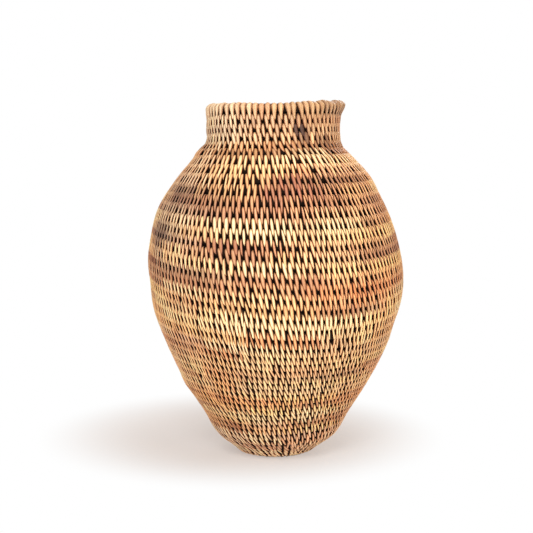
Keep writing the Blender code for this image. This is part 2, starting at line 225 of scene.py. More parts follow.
def outer_outline():
    """The smooth outline from the base's middle to the rim, with the pitches at each of its points."""
    points = STATIONS[:, :2]
    chords = np.linalg.norm(np.diff(points, axis=0), axis=1)
    slopes = [np.array([1.0, 0.0])]
    for place in range(1, len(points) - 1):
        before = (points[place] - points[place - 1]) / chords[place - 1]
        after = (points[place + 1] - points[place]) / chords[place]
        shared = chords[place - 1] + chords[place]
        slopes.append((before * chords[place] + after * chords[place - 1]) / shared)
    slopes.append((points[-1] - points[-2]) / chords[-1])
    pitches = STATIONS[:, [COURSE, STITCH]]
    rows = [(0.0, 0.0, *pitches[0])]
    for place, chord in enumerate(chords):
        for count in range(POINTS_PER_SPAN):
            share = count / POINTS_PER_SPAN
            eased = smooth_step(share)
            point = (
                points[place] * (1 - eased)
                + points[place + 1] * eased
                + slopes[place] * chord * share * (1 - share) ** 2
                - slopes[place + 1] * chord * share**2 * (1 - share)
            )
            rows.append((*point, *(pitches[place] * (1 - eased) + pitches[place + 1] * eased)))
    rows.append((*points[-1], *pitches[-1]))
    return np.array(rows)


class Track:
    """The line in a half plane through the axis that the middles of all courses lie on."""

    def __init__(self):
        outline = outer_outline()
        line = outline[:, :2]
        slopes = np.gradient(line, axis=0)
        slopes[:2] = (1.0, 0.0)
        slopes /= np.linalg.norm(slopes, axis=1)[:, None]
        self.outward = np.stack([slopes[:, 1], -slopes[:, 0]], axis=1)
        self.half = (outline[:, 2] - SPLINT_GAP) / 2
        tilt = np.arccos(np.clip(-self.outward[:, 1], 0.0, 1.0))
        wall_share = np.clip(tilt * FLOOR_SIDES / math.pi, 0.0, 1.0)
        corner_share = 1 / math.cos(math.pi / WALL_SIDES)
        self.reach = self.half * (1 + (corner_share - 1) * wall_share)
        self.middle = line - self.outward * self.reach[:, None]
        self.stitch = outline[:, 3]
        steps = np.linalg.norm(np.diff(self.middle, axis=0), axis=1)
        self.along = np.concatenate([[0.0], np.cumsum(steps)])
        self.length = self.along[-1] - self.half[-1]

    def read(self, values, along):
        """One of the track's own values, or a pair of them, at lengths along it."""
        if values.ndim == 1:
            return np.interp(along, self.along, values)
        return np.stack([np.interp(along, self.along, values[:, axis]) for axis in range(2)], axis=-1)

    def outward_at(self, along):
        """Outward direction at lengths along the track."""
        found = self.read(self.outward, along)
        return found / np.linalg.norm(found, axis=-1, keepdims=True)


def wind_coil(track, tail_shares):
    """Lay the rod corner by corner, each course on the one below, as the solids have it."""
    first_half = track.half[0]
    start = KNOT_RADIUS + SPLINT_GAP + first_half
    places, halves = [], []
    total = None if tail_shares is None else len(tail_shares)
    while total is None or len(places) < total:
        corner = len(places)
        share = 1.0 if tail_shares is None else tail_shares[corner]
        if corner < STEPS_PER_TURN:
            along = start + STATIONS[0, COURSE] * corner / STEPS_PER_TURN
            half = first_half
        else:
            below = places[corner - STEPS_PER_TURN]
            half = halves[corner - STEPS_PER_TURN]
            edge = below + half + SPLINT_GAP
            along = edge + half
            lower_half = track.read(track.half, below)
            lower_outward = track.outward_at(below)
            for _ in range(SETTLING_ROUNDS):
                half = track.read(track.half, along) * share
                bend = math.acos(min(1.0, np.dot(lower_outward, track.outward_at(along))))
                along = edge + half + lower_half * math.tan(math.pi / WALL_SIDES) * bend
        if total is None and along > track.length:
            break
        places.append(along)
        halves.append(half)
    return np.array(places), np.array(halves)


def tail_shares_for(corner_count):
    """Thickness of the rod at each corner: whole, but thinning evenly in the tail at the rim."""
    corner_spacing = 2 * math.pi * STATIONS[-1, RADIUS] / STEPS_PER_TURN
    distances = np.arange(corner_count)[::-1] * corner_spacing
    return np.interp(distances, (0.0, TAIL_LENGTH), (TAIL_END_SHARE, 1.0))


class Coil:
    """The rod's run: where its middle lies, and how thick it is, at any count of turns."""

    def __init__(self, track):
        self.track = track
        places, _ = wind_coil(track, None)
        self.places, self.halves = wind_coil(track, tail_shares_for(len(places)))
        self.turns = (len(self.places) - 1) / STEPS_PER_TURN
        self.first_angle = COIL_END_ANGLE - 2 * math.pi * self.turns
        self.at_turn = np.arange(len(self.places)) / STEPS_PER_TURN

    def along(self, turn):
        """Length along the track at a count of turns; before the start it runs on inward."""
        inward = self.places[0] + STATIONS[0, COURSE] * np.minimum(turn, 0.0)
        return np.where(turn < 0, inward, np.interp(turn, self.at_turn, self.places))

    def half(self, turn):
        """Half the room that the rod and its stitches take, at a count of turns."""
        return np.interp(turn, self.at_turn, self.halves)

    def reach(self, turn):
        """How far the finished course reaches out from the rod's middle, at a count of turns."""
        along = self.along(turn)
        return self.track.read(self.track.reach / self.track.half, along) * self.half(turn)

    def rim_share(self, turn):
        """1 on the last course, which the rim's wide wraps cover, and 0 below it."""
        return smooth_step(np.clip((turn - self.turns + 1) / RIM_BLEND_TURNS, 0.0, 1.0))

    def left(self, turn):
        """How much of the rod is left where its end sinks into the course below."""
        ending = smooth_step(np.clip((turn - self.turns) / END_TURNS + 1, 0.0, 1.0))
        return 1 - END_THINNING * ending

    def bed(self, turn):
        """The oval that the splints lie on: how far it reaches out, and up or down, from the rod's middle."""
        outward = self.reach(turn) - SPLINT_THICKNESS
        upward = self.half(turn) - RIM_WRAP_THICKNESS * self.rim_share(turn)
        return outward * self.left(turn), upward * self.left(turn)

    def angle(self, turn):
        """Angle round the axis at a count of turns."""
        return self.first_angle + 2 * math.pi * turn

    def middle(self, turn):
        """Radius and height of the rod's middle, and the outward direction there."""
        along = self.along(turn) - (1 - self.left(turn)) * self.half(turn)
        return self.track.read(self.track.middle, along), self.track.outward_at(along)


def wave(angle, height, around, upright, phase):
    """A wave over the wall: so many waves round the axis, and so many radians over a metre of height."""
    return np.sin(around * angle + upright * height + phase)


def ripples(angle, height, rows):
    """Several waves together, each with its own share."""
    return sum(share * wave(angle, height, *row) for share, *row in rows)


def degrees_apart(angle, middle):
    """How far angles lie from a middle one, in degrees, either way."""
    return np.abs((np.degrees(angle) - middle + 180) % 360 - 180)


def bump(angle, middle, width):
    """1 at one angle round the axis, in degrees, and falling off to both sides."""
    return np.exp(-((degrees_apart(angle, middle) / width) ** 2))


def settle(points):
    """Give points of the true coil the basket's lean and its small hand-made unevenness."""
    x, y, z = points[..., 0], points[..., 1], points[..., 2]
    angle = np.arctan2(y, x)
    foot, neck_foot = OUTLINE["foot"][HEIGHT], OUTLINE["neck_foot"][HEIGHT]
    share = np.clip((z - foot) / (neck_foot - foot), 0.0, 1.0)
    swell = np.sin(math.pi * share) ** 2
    drop = swell * (BELLY_DROP * x - FRONT_DROP * y) / (2 * OUTLINE["belly"][RADIUS])
    rise = smooth_step(np.maximum(2 * share - 1, 0.0)) * -RIM_TILT * y / (2 * OUTLINE["neck"][RADIUS])
    drift = np.interp(z, STATIONS[:, HEIGHT], STATIONS[:, DRIFT])
    loose = np.clip((z - foot) / foot, 0.0, 1.0)
    swell_out = SWELL * ripples(angle, z, SWELL_RIPPLES)
    lift = LIFT * ripples(angle, z, LIFT_RIPPLES)
    for dent_angle, dent_height, wide, tall, amount in DENTS:
        swell_out = swell_out + amount * bump(angle, dent_angle, wide) * np.exp(-(((z - dent_height) / tall) ** 2))
    rim = ease(z, RIM_RISE_FROM, STATIONS[-1, HEIGHT])
    sink = NECK_SINK * ease(z, NECK_SINK_FROM, NECK_SINK_TO)
    rim_rise = sum(amount * bump(angle, rise_angle, wide) for rise_angle, wide, amount in RIM_RISES)
    # The rim's own course stands out at the right, most at its middle, which falls with the coil's slope
    turns_left = (COIL_END_ANGLE - angle) / (2 * math.pi) % 1.0
    rim_middle = STATIONS[-1, HEIGHT] - (0.5 + turns_left) * STATIONS[-1, COURSE]
    mirrored = np.minimum(z, 2 * rim_middle - z)
    flaring = ease(mirrored, RIM_RISE_FROM, rim_middle)
    flare = flaring**2 * RIM_FLARE * np.maximum(np.cos(angle), 0.0) ** 2
    radius = np.hypot(x, y) + swell_out * loose + flare
    raised = z - drop + rise + lift * loose + rim * rim_rise - sink
    return np.stack([radius * np.cos(angle) + drift, radius * np.sin(angle), raised], axis=-1)


def to_space(flat, angle):
    """Turn radius and height into a point at an angle round the axis."""
    return np.stack([flat[..., 0] * np.cos(angle), flat[..., 0] * np.sin(angle), flat[..., 1]], axis=-1)


def read_station(column, height):
    """One of the outline's own values at a height."""
    return np.interp(height, STATIONS[:, HEIGHT], STATIONS[:, column])


def lean_share_at(height, angle):
    """How far a stitch leans over its length, as a share of the stitch pitch."""
    return read_station(LEAN, height) + LEAN_WAVE * ripples(angle, height, LEAN_RIPPLES)


def local_mean(values, reach):
    """The mean of each value and its neighbours, so many to either side."""
    before = 2 * values[0] - values[reach:0:-1]
    after = 2 * values[-1] - values[-2 : -reach - 2 : -1]
    span = 2 * reach + 1
    return np.convolve(np.concatenate([before, values, after]), np.full(span, 1 / span), mode="valid")


def relax(coil, places, gaps):
    """Close up the gaps that no stitch goes into, open those that two go into, and aim every stitch again."""
    counts = np.bincount(gaps[gaps >= 0], minlength=len(places))[: len(places) - 1]
    counts[: gaps[gaps >= 0][0]] = 1
    counts[gaps[-1] + 1 :] = 1
    walk = np.concatenate([[0.0], np.cumsum(np.diff(places) * (GAP_WEIGHTS[np.minimum(counts, 2)] - 1))])
    places = places + walk - local_mean(walk, RELAXING_REACH)
    even = RIM_EVENING * coil.rim_share(places)
    places = places + even * (local_mean(places, RELAXING_REACH) - places)
    order = np.zeros(len(places))
    order[1:] = gaps[1:] == gaps[:-1]
    shares = (order + 0.5) / np.maximum(counts[np.minimum(gaps, len(counts) - 1)], 1)
    aims = places[gaps] + (places[gaps + 1] - places[gaps]) * shares + 1
    return places, aims


def sew(coil):
    """Place every stitch, in turns, and the place of the course below that each aims for."""
    track = coil.track

    def pitch_at(turn):
        along = coil.along(turn)
        radius = track.read(track.middle, along)[0]
        return track.read(track.stitch, along) / (2 * math.pi * max(radius, LEAST_SEWN_RADIUS))

    places = [FIRST_STITCH]
    while places[-1] < 1.0:
        places.append(places[-1] + pitch_at(places[-1]))
    unplaced = len(places)
    gaps = [-1] * unplaced
    gap = next(index for index, place in enumerate(places) if place + 1 > places[-1])
    wanting = 0.0
    while places[-1] < coil.turns + LAST_STITCH_PAST_END:
        middle = (places[gap] + places[gap + 1]) / 2 + 1
        gap += 1
        pitch = pitch_at(middle)
        height = coil.middle(middle)[0][1]
        lean = lean_share_at(height, coil.angle(middle))
        wanted = middle - lean * pitch / 2
        even = places[-1] + pitch
        turn = wanted + EVENING_SHARE * (np.clip(even, wanted - pitch, wanted + pitch) - wanted)
        turn += pitch * PLACE_NOISE * rng.standard_normal()
        spacing = turn - places[-1]
        # Where stitches have come too close, one is left out, and where too few have come, one more goes in
        now_wanting = wanting + spacing / pitch - 1
        if now_wanting < -1.0 or spacing < CLOSEST_SHARE * pitch:
            places[-1] += spacing / LEFT_OUT_PARTS
            wanting += spacing / LEFT_OUT_PARTS / pitch
            continue
        if now_wanting > 1.0:
            now_wanting -= 1.0
            places.append(places[-1] + spacing / 2)
            gaps.append(gap - 1)
        wanting = now_wanting
        places.append(turn)
        gaps.append(gap - 1)
    places, aims = relax(coil, np.array(places), np.array(gaps))
    first = places[:unplaced]
    aims[:unplaced] = first + STATIONS[0, LEAN] * np.gradient(first) / 2
    return places, aims


def bed_point(coil, turn, out_share, up_share):
    """A point on the oval that the splints lie on."""
    middle, outward = coil.middle(turn)
    upward = np.stack([-outward[..., 1], outward[..., 0]], axis=-1)
    wide, tall = coil.bed(turn)
    return middle + (wide * out_share)[..., None] * outward + (tall * up_share)[..., None] * upward


def stitch_rings(coil, places, aims):
    """Middle, outward direction, width and thickness at each station of each stitch."""
    noises = np.clip(rng.standard_normal((4, len(places), 1)), -NOISE_LIMIT, NOISE_LIMIT)
    lean_noise, bow_noise, width_noise, thickness_noise = noises
    spacing = local_mean(np.gradient(places), SPACING_REACH)
    heights = coil.middle(places)[0][:, 1]
    usual = lean_share_at(heights, coil.angle(places)) * spacing
    lean = (aims - places + (AIM_STATION_LEAN - 0.5) * usual) / AIM_STATION_LEAN
    lean = np.clip(lean, usual - LEAN_ROOM * spacing, usual + LEAN_ROOM * spacing)
    lean = lean + LEAN_NOISE * lean_noise[:, 0] * spacing
    onward = np.append(np.diff(places), spacing[-1]) - lean
    steps = np.where(PATH["onward"] > 0, onward[:, None], np.roll(onward, 1)[:, None])
    bow = BOW_NOISE * bow_noise * spacing[:, None] * np.sin(math.pi * PATH["lean"])
    turn = places[:, None] + lean[:, None] * PATH["lean"] + steps * PATH["onward"] + bow
    upper = np.clip(turn, INMOST_TURN, coil.turns)
    lower = np.where(turn - 1 < INMOST_TURN, upper, np.clip(turn - 1, INMOST_TURN, coil.turns))
    rim_share = coil.rim_share(places)[:, None]
    rounded = 1 + rim_share * (1 / np.hypot(PATH["out"], PATH["up"]) - 1)
    roundness = np.where(PATH["upper"] == 1, rounded, 1.0)
    share = PATH["upper"][:, None]
    upper_point = bed_point(coil, upper, PATH["out"] * roundness, PATH["up"] * roundness)
    lower_point = bed_point(coil, lower, PATH["out"] * roundness, PATH["up"] * roundness)
    flat = upper_point * share + lower_point * (1 - share)
    run = np.gradient(flat, axis=1)
    flat_normal = np.stack([-run[..., 1], run[..., 0]], axis=-1)
    flat_normal /= np.linalg.norm(flat_normal, axis=-1, keepdims=True)
    angle = coil.angle(turn)
    room = spacing[:, None] * 2 * math.pi * np.maximum(flat[..., 0], LEAST_WIDTH_RADIUS)
    fullness = read_station(FULLNESS, heights) * band_fullness(heights)
    plain_width = PATH["width"] * fullness[:, None] * (1 + WIDTH_NOISE * width_noise)
    width = room * (plain_width * (1 - rim_share) + PATH["rim_width"] * rim_share)
    at_rim = rim_share * PATH["upper"]
    plump = PATH["thickness"] * (1 - at_rim) + RIM_PLUMPNESS * at_rim
    uneven = THICKNESS_NOISE * (1 - at_rim) + RIM_THICKNESS_NOISE * at_rim
    thickness = SPLINT_THICKNESS * plump * (1 + uneven * thickness_noise)
    return to_space(flat, angle), to_space(flat_normal, angle), width, thickness


def ribbon_points(centre, normal, width, thickness):
    """Skin points of the ribbons: a crowned section carried along the stitches' path."""
    run = centre.reshape(-1, 3)
    tangent = np.gradient(run, axis=0)
    tangent /= np.linalg.norm(tangent, axis=1, keepdims=True)
    lifted = normal.reshape(-1, 3)
    side = np.cross(tangent, lifted)
    side /= np.linalg.norm(side, axis=1, keepdims=True)
    across = SECTION[:, 0][None, :, None] * (width.reshape(-1) / 2)[:, None, None] * side[:, None, :]
    height = SECTION[:, 1][None, :, None] * thickness.reshape(-1)[:, None, None] * lifted[:, None, :]
    return run[:, None, :] + across + height


def splint_numbers(count):
    """The number of the splint that each stitch belongs to."""
    lengths = rng.integers(*STITCHES_PER_SPLINT, size=count)
    return np.repeat(np.arange(count), lengths)[:count]


def mesh_object(name, points, quads, caps):
    """A smooth-shaded object from points, four-cornered faces and end caps."""
    data = bpy.data.meshes.new(name)
    data.vertices.add(len(points))
    data.vertices.foreach_set("co", points.astype(np.float32).ravel())
    data.loops.add(quads.size + caps.size)
    data.loops.foreach_set("vertex_index", np.concatenate([quads.ravel(), caps.ravel()]).astype(np.int32))
    sizes = np.concatenate([np.full(len(quads), quads.shape[1]), np.full(len(caps), caps.shape[1])])
    starts = np.concatenate([[0], np.cumsum(sizes)[:-1]])
    data.polygons.add(len(sizes))
    data.polygons.foreach_set("loop_start", starts.astype(np.int32))
    data.polygons.foreach_set("loop_total", sizes.astype(np.int32))
    data.update(calc_edges=True)
    data.validate()
    data.shade_smooth()
    made = bpy.data.objects.new(name, data)
    bpy.context.scene.collection.objects.link(made)
    return made


def tube_faces(sides, broken):
    """Faces between rings that follow each other, and the caps where a run of them starts or ends."""
    joined = np.flatnonzero(~broken[:-1])
    side = np.arange(sides)
    near = joined[:, None] * sides + side
    near_next = joined[:, None] * sides + (side + 1) % sides
    quads = np.stack([near, near_next, near_next + sides, near + sides], axis=-1).reshape(-1, 4)
    ends = np.flatnonzero(broken)
    starts = np.concatenate([[0], ends[:-1] + 1])
    start_caps = starts[:, None] * sides + side[::-1]
    end_caps = ends[:, None] * sides + side
    return quads, np.concatenate([start_caps, end_caps])


def add_layer(made, name, kind, field, values):
    """Store one number or one colour for each point of a mesh."""
    layer = made.data.attributes.new(name, kind, "POINT")
    layer.data.foreach_set(field, values.astype(np.float32).ravel())


def srgb(red, green, blue):
    """A colour given as it looks on a screen, from 0 to 255, as linear light."""
    levels = np.array([red, green, blue]) / 255
    return np.where(levels <= 0.04045, levels / 12.92, ((levels + 0.055) / 1.055) ** 2.4)


GOLD = srgb(230, 172, 110)
STRAW = srgb(242, 216, 160)
BEIGE = srgb(218, 170, 126)
OCHRE = srgb(204, 148, 98)
BROWN = srgb(150, 94, 64)
RED_BROWN = srgb(166, 102, 72)
RUST = srgb(216, 134, 74)
DARK_BROWN = srgb(96, 68, 58)
PINK_BROWN = srgb(192, 136, 96)
DUSTY = srgb(222, 180, 142)
KHAKI = srgb(210, 167, 121)
PALE_GREY = srgb(212, 182, 144)
ORANGE = srgb(226, 150, 82)
NECK_TAN = srgb(190, 146, 106)
RIM_TAN = srgb(180, 138, 98)
NECK_FOOT_BROWN = srgb(178, 124, 78)
NEAR_BLACK = srgb(70, 32, 14)
RIM_SHADE = srgb(150, 118, 86)

# Bands up the wall: their heights on the coil, colour and strength, how full the stitches are there, and, where
# only a part is coloured, its middle angle and half width in degrees. The front is at -90 degrees.
ALL_ROUND = (-90.0, 1000.0)
BANDS = (
    (0.297, 0.33, RIM_TAN, 0.95, 1),
    (0.268, 0.297, NECK_TAN, 0.85, 1),
    (0.26, 0.2725, NECK_FOOT_BROWN, 0.8, 0.96),
    (0.247, 0.258, BEIGE, 0.4, 1.04),
    (0.2125, 0.247, OCHRE, 0.5, 0.94),
    (0.2125, 0.23, PINK_BROWN, 0.35, 1),
    (0.2145, 0.2185, PINK_BROWN, 0.45, 1),
    (0.1985, 0.2115, STRAW, 0.9, 1.1, -82, 31),
    (0.1895, 0.1985, PINK_BROWN, 0.75, 0.9),
    (0.1895, 0.1985, BROWN, 0.4, 1, -118, 18),
    (0.1775, 0.1885, STRAW, 0.6, 1.03, -98, 22),
    (0.155, 0.1765, PINK_BROWN, 0.55, 0.98),
    (0.17, 0.1755, BROWN, 0.4, 1, -95, 60),
    (0.156, 0.165, ORANGE, 0.55, 1, -62, 26),
    (0.1335, 0.149, STRAW, 0.8, 1.1, -86, 32),
    (0.1255, 0.13, ORANGE, 0.55, 1, -88, 22),
    (0.112, 0.124, PALE_GREY, 0.7, 1.02),
    (0.099, 0.104, PALE_GREY, 0.45, 1),
    (0.087, 0.093, PINK_BROWN, 0.35, 1),
    (0.074, 0.08, PALE_GREY, 0.4, 1),
    (0.067, 0.112, KHAKI, 0.6, 1.02),
    (0.059, 0.066, RUST, 0.3, 1),
    (0.045, 0.0545, STRAW, 0.42, 1.02),
    (0.032, 0.045, OCHRE, 0.55, 0.95),
    (-0.01, 0.031, DUSTY, 0.8, 1),
    (0.0245, 0.032, DUSTY, 0.8, 1),
)

# Stained or differently coloured places: angle in degrees, coil height, half their width in degrees and half
# their height, colour and strength. The front is at -90 degrees.
PATCHES = (
    (-80, 0.237, 14, 0.0075, RED_BROWN, 0.95),
    (-91, 0.229, 6, 0.006, RED_BROWN, 0.75),
    (-146, 0.167, 30, 0.009, BROWN, 0.45),
    (-50, 0.164, 16, 0.006, RED_BROWN, 0.35),
    (-65, 0.152, 10, 0.009, BROWN, 0.35),
    (-64, 0.126, 9, 0.006, BROWN, 0.35),
    (-150, 0.29, 28, 0.018, PALE_GREY, 0.75),
    (-78, 0.304, 24, 0.007, RIM_SHADE, 0.4),
    (-62, 0.261, 14, 0.006, STRAW, 0.45),
    (-58, 0.245, 8, 0.004, BEIGE, 0.6),
    (-155, 0.242, 30, 0.005, BEIGE, 0.6),
    (-134, 0.215, 9, 0.006, BROWN, 0.4),
    (-88, 0.213, 7, 0.004, BROWN, 0.4),
    (-106, 0.045, 10, 0.004, STRAW, 0.4),
    (-106, 0.027, 10, 0.004, STRAW, 0.4),
    (-70, 0.05, 12, 0.006, STRAW, 0.45),
    (-152, 0.215, 18, 0.035, PALE_GREY, 0.55),
    (-76, 0.206, 7, 0.0085, OCHRE, 0.75),
    (-62, 0.229, 10, 0.006, BROWN, 0.5),
    (-108, 0.222, 10, 0.005, BROWN, 0.35),
    (-125, 0.171, 22, 0.006, BROWN, 0.3),
    (-134, 0.141, 9, 0.006, OCHRE, 0.55),
    (-117, 0.13, 8, 0.004, OCHRE, 0.55),
    (-76, 0.1765, 7, 0.006, BROWN, 0.45),
    (-76, 0.1645, 7, 0.005, BROWN, 0.45),
    (-62, 0.156, 8, 0.006, BROWN, 0.45),
    (-61, 0.131, 8, 0.006, BROWN, 0.45),
    (-46, 0.243, 20, 0.0045, BROWN, 0.65),
    (-150, 0.227, 12, 0.0085, DARK_BROWN, 0.6),
    (-132, 0.226, 20, 0.0065, BROWN, 0.55),
    (-157, 0.1965, 10, 0.011, DARK_BROWN, 0.68),
    (-108, 0.1925, 14, 0.0045, BROWN, 0.6),
    (-66, 0.191, 12, 0.005, KHAKI, 0.6),
    (-62, 0.164, 15, 0.006, RUST, 0.6),
    (-38, 0.166, 16, 0.008, RUST, 0.6),
    (-122, 0.082, 8, 0.006, RUST, 0.5),
    (-118, 0.105, 6, 0.004, RUST, 0.4),
    (-126, 0.0375, 6, 0.0045, BROWN, 0.8),
    (-100, 0.041, 10, 0.005, DUSTY, 0.6),
    (-67, 0.283, 5.2, 0.0068, NEAR_BLACK, 0.97),
    (-44, 0.2745, 6, 0.004, NEAR_BLACK, 0.9),
    (-24, 0.125, 22, 0.025, GOLD, 0.5),
    (-148, 0.08, 26, 0.045, ORANGE, 0.35),
    (-28, 0.07, 24, 0.045, ORANGE, 0.35),
    (-28, 0.05, 20, 0.015, BROWN, 0.3),
    (100, 0.215, 16, 0.008, BROWN, 0.7),
    (20, 0.12, 12, 0.008, BROWN, 0.5),
    (150, 0.15, 22, 0.01, RUST, 0.5),
)
# How softly bands and stains end, how ragged they are, from splint to splint and from stitch to stitch, and how
# much of a band's strength every splint has and only the warmest have
BAND_SOFTNESS = 0.002
SOFT_REACH = 1.6
BAND_RAGGEDNESS = 0.6
PATCH_RAGGEDNESS = 0.8
LEAST_IN_BAND = 0.6
MORE_IN_BAND = 0.8
# Splints of another colour: the tone or warmth where it sets in, and how fast it grows from there. Outside the
# heights named, straw-coloured ones are fewer.
STRAW_TONE, STRAW_GAIN = 0.62, 1.6
PINK_TONE, PINK_GAIN = 0.3, 2.4
RUST_WARMTH, RUST_GAIN = 0.88, 4.0
BROWN_WARMTH, BROWN_GAIN = 0.06, 12.0
STRAW_FROM = 0.1255
STRAW_TO = 0.2145
PLAIN_STRAW_SHARE = 0.35
# Brightness: the least, what a stitch and a splint add to it, and streaks and bands over the wall
LEAST_TONE = 0.8
STITCH_TONE = 0.26
SPLINT_TONE = 0.14
STREAK = 0.08
STREAK_WAVES = ((2, 1900.0, 0.5), (5, 700.0, 2.0))
BANDING = 0.08
BANDING_RIPPLES = ((1.0, 1, 620.0, 0.3), (0.7, 2, 410.0, 1.7))


def band_share(low, high, height):
    """1 inside a band of coil heights and 0 outside it, softly."""
    return np.clip(np.minimum(height - low, high - height) / BAND_SOFTNESS + 0.5, 0.0, 1.0)


def band_fullness(height):
    """How full the stitches of each band are, against those of the plain wall."""
    full = np.ones_like(height)
    for low, high, _, _, fullness, *_ in BANDS:
        full = full + band_share(low, high, height) * (fullness - 1)
    return full


def splint_colours(angle, height, splint, splint_count):
    """The colour of each stitch: bands up the wall, a few stained places and a tone for every splint."""
    # Each splint has its own tone and warmth, and each stitch a shade of its own
    tone = rng.random(splint_count)[splint]
    warmth = rng.random(splint_count)[splint]
    own = rng.random(len(angle))
    colour = GOLD

    def blend(target, share):
        nonlocal colour
        share = np.clip(share, 0.0, 1.0)[:, None]
        colour = colour * (1 - share) + target * share

    for low, high, target, strength, _, *part in BANDS:
        middle, wide = part or ALL_ROUND
        distance = degrees_apart(angle, middle) / wide
        within = np.clip(SOFT_REACH - distance + BAND_RAGGEDNESS * (warmth - 0.5), 0.0, 1.0)
        dyed = strength * (LEAST_IN_BAND + MORE_IN_BAND * warmth)
        blend(target, band_share(low, high, height) * within * dyed)
    straw_share = np.where((height > STRAW_TO) | (height < STRAW_FROM), PLAIN_STRAW_SHARE, 1.0)
    straw_share = np.where(height > RIM_RISE_FROM, 0.0, straw_share)
    blend(STRAW, np.clip(tone - STRAW_TONE, 0.0, 1.0) * STRAW_GAIN * straw_share)
    blend(PINK_BROWN, np.clip(PINK_TONE - tone, 0.0, 1.0) * PINK_GAIN)
    blend(RUST, np.clip(warmth - RUST_WARMTH, 0.0, 1.0) * RUST_GAIN)
    blend(BROWN, np.clip(BROWN_WARMTH - warmth, 0.0, 1.0) * BROWN_GAIN)
    for patch_angle, patch_height, wide, tall, target, strength in PATCHES:
        distance = np.hypot(degrees_apart(angle, patch_angle) / wide, (height - patch_height) / tall)
        within = np.clip(SOFT_REACH - distance + PATCH_RAGGEDNESS * (own - 0.5), 0.0, 1.0)
        blend(target, within * strength)
    streak = STREAK * wave(angle, height, *STREAK_WAVES[0]) * wave(angle, height, *STREAK_WAVES[1])
    banding = BANDING * ripples(angle, height, BANDING_RIPPLES)
    colour *= (LEAST_TONE + STITCH_TONE * own + SPLINT_TONE * tone + streak + banding)[:, None]
    return np.clip(colour, 0.0, 1.0)


def node_cuts(coil):
    """The turns between which each length of rod lies, as the solids have them."""
    track = coil.track

    def place_at_length(along):
        corner = int(np.searchsorted(coil.places, along))
        return min(corner, len(coil.places) - 2) + 0.5

    def along_at_height(height):
        return np.interp(height, track.middle[:, 1], track.along)

    rim_start = len(coil.places) - 1.0 - STEPS_PER_TURN
    regions = [
        ("foot_coil", "foot", 1),
        ("lower_wall_coil", "middle_wall", LOWER_WALL_COUNT),
        ("belly_coil", "high_belly", BELLY_COUNT),
        ("shoulder_coil", "neck_foot", SHOULDER_COUNT),
    ]
    cuts = [("base_coil", 0.0, place_at_length(STATIONS[0, RADIUS] - track.half[0]))]
    for name, top, count in regions:
        start, end = cuts[-1][2], place_at_length(along_at_height(OUTLINE[top][HEIGHT]))
        for length in range(count):
            stop = math.floor(start + (end - start) * (length + 1) / count) + 0.5
            title = name if count == 1 else f"{name}_{length + 1}"
            cuts.append((title, cuts[-1][2], end if length == count - 1 else stop))
    cuts.append(("neck_coil", cuts[-1][2], rim_start))
    cuts.append(("rim_coil", rim_start, len(coil.places) - 1.0))
    return [(name, low / STEPS_PER_TURN, high / STEPS_PER_TURN) for name, low, high in cuts]


def build_rod(coil, name, low, high, material):
    """One length of foundation rod, between two counts of turns."""
    steps = max(2, int((high - low) * ROD_STEPS_PER_TURN))
    turn = np.linspace(low, high, steps + 1)
    flat, outward = coil.middle(turn)
    upward = np.stack([-outward[:, 1], outward[:, 0]], axis=-1)
    wide, tall = coil.bed(turn)
    rim_share = coil.rim_share(turn)
    packed = (RIM_WRAP_THICKNESS * coil.left(turn) + ROD_SWELL) * rim_share / 2
    flat = flat - packed[:, None] * upward
    wide, tall = wide - ROD_SINK * coil.left(turn), tall + ROD_SWELL * (1 - rim_share) + packed
    around = 2 * math.pi * (np.arange(ROD_SIDES) + 0.5) / ROD_SIDES
    ring = (
        flat[:, None, :]
        + wide[:, None, None] * np.cos(around)[None, :, None] * outward[:, None, :]
        + tall[:, None, None] * np.sin(around)[None, :, None] * upward[:, None, :]
    )
    points = settle(to_space(ring, coil.angle(turn)[:, None]))
    broken = np.zeros(steps + 1, bool)
    broken[-1] = True
    quads, caps = tube_faces(ROD_SIDES, broken)
    made = mesh_object(name, points.reshape(-1, 3), quads, caps)
    made.data.materials.append(material)
    return made


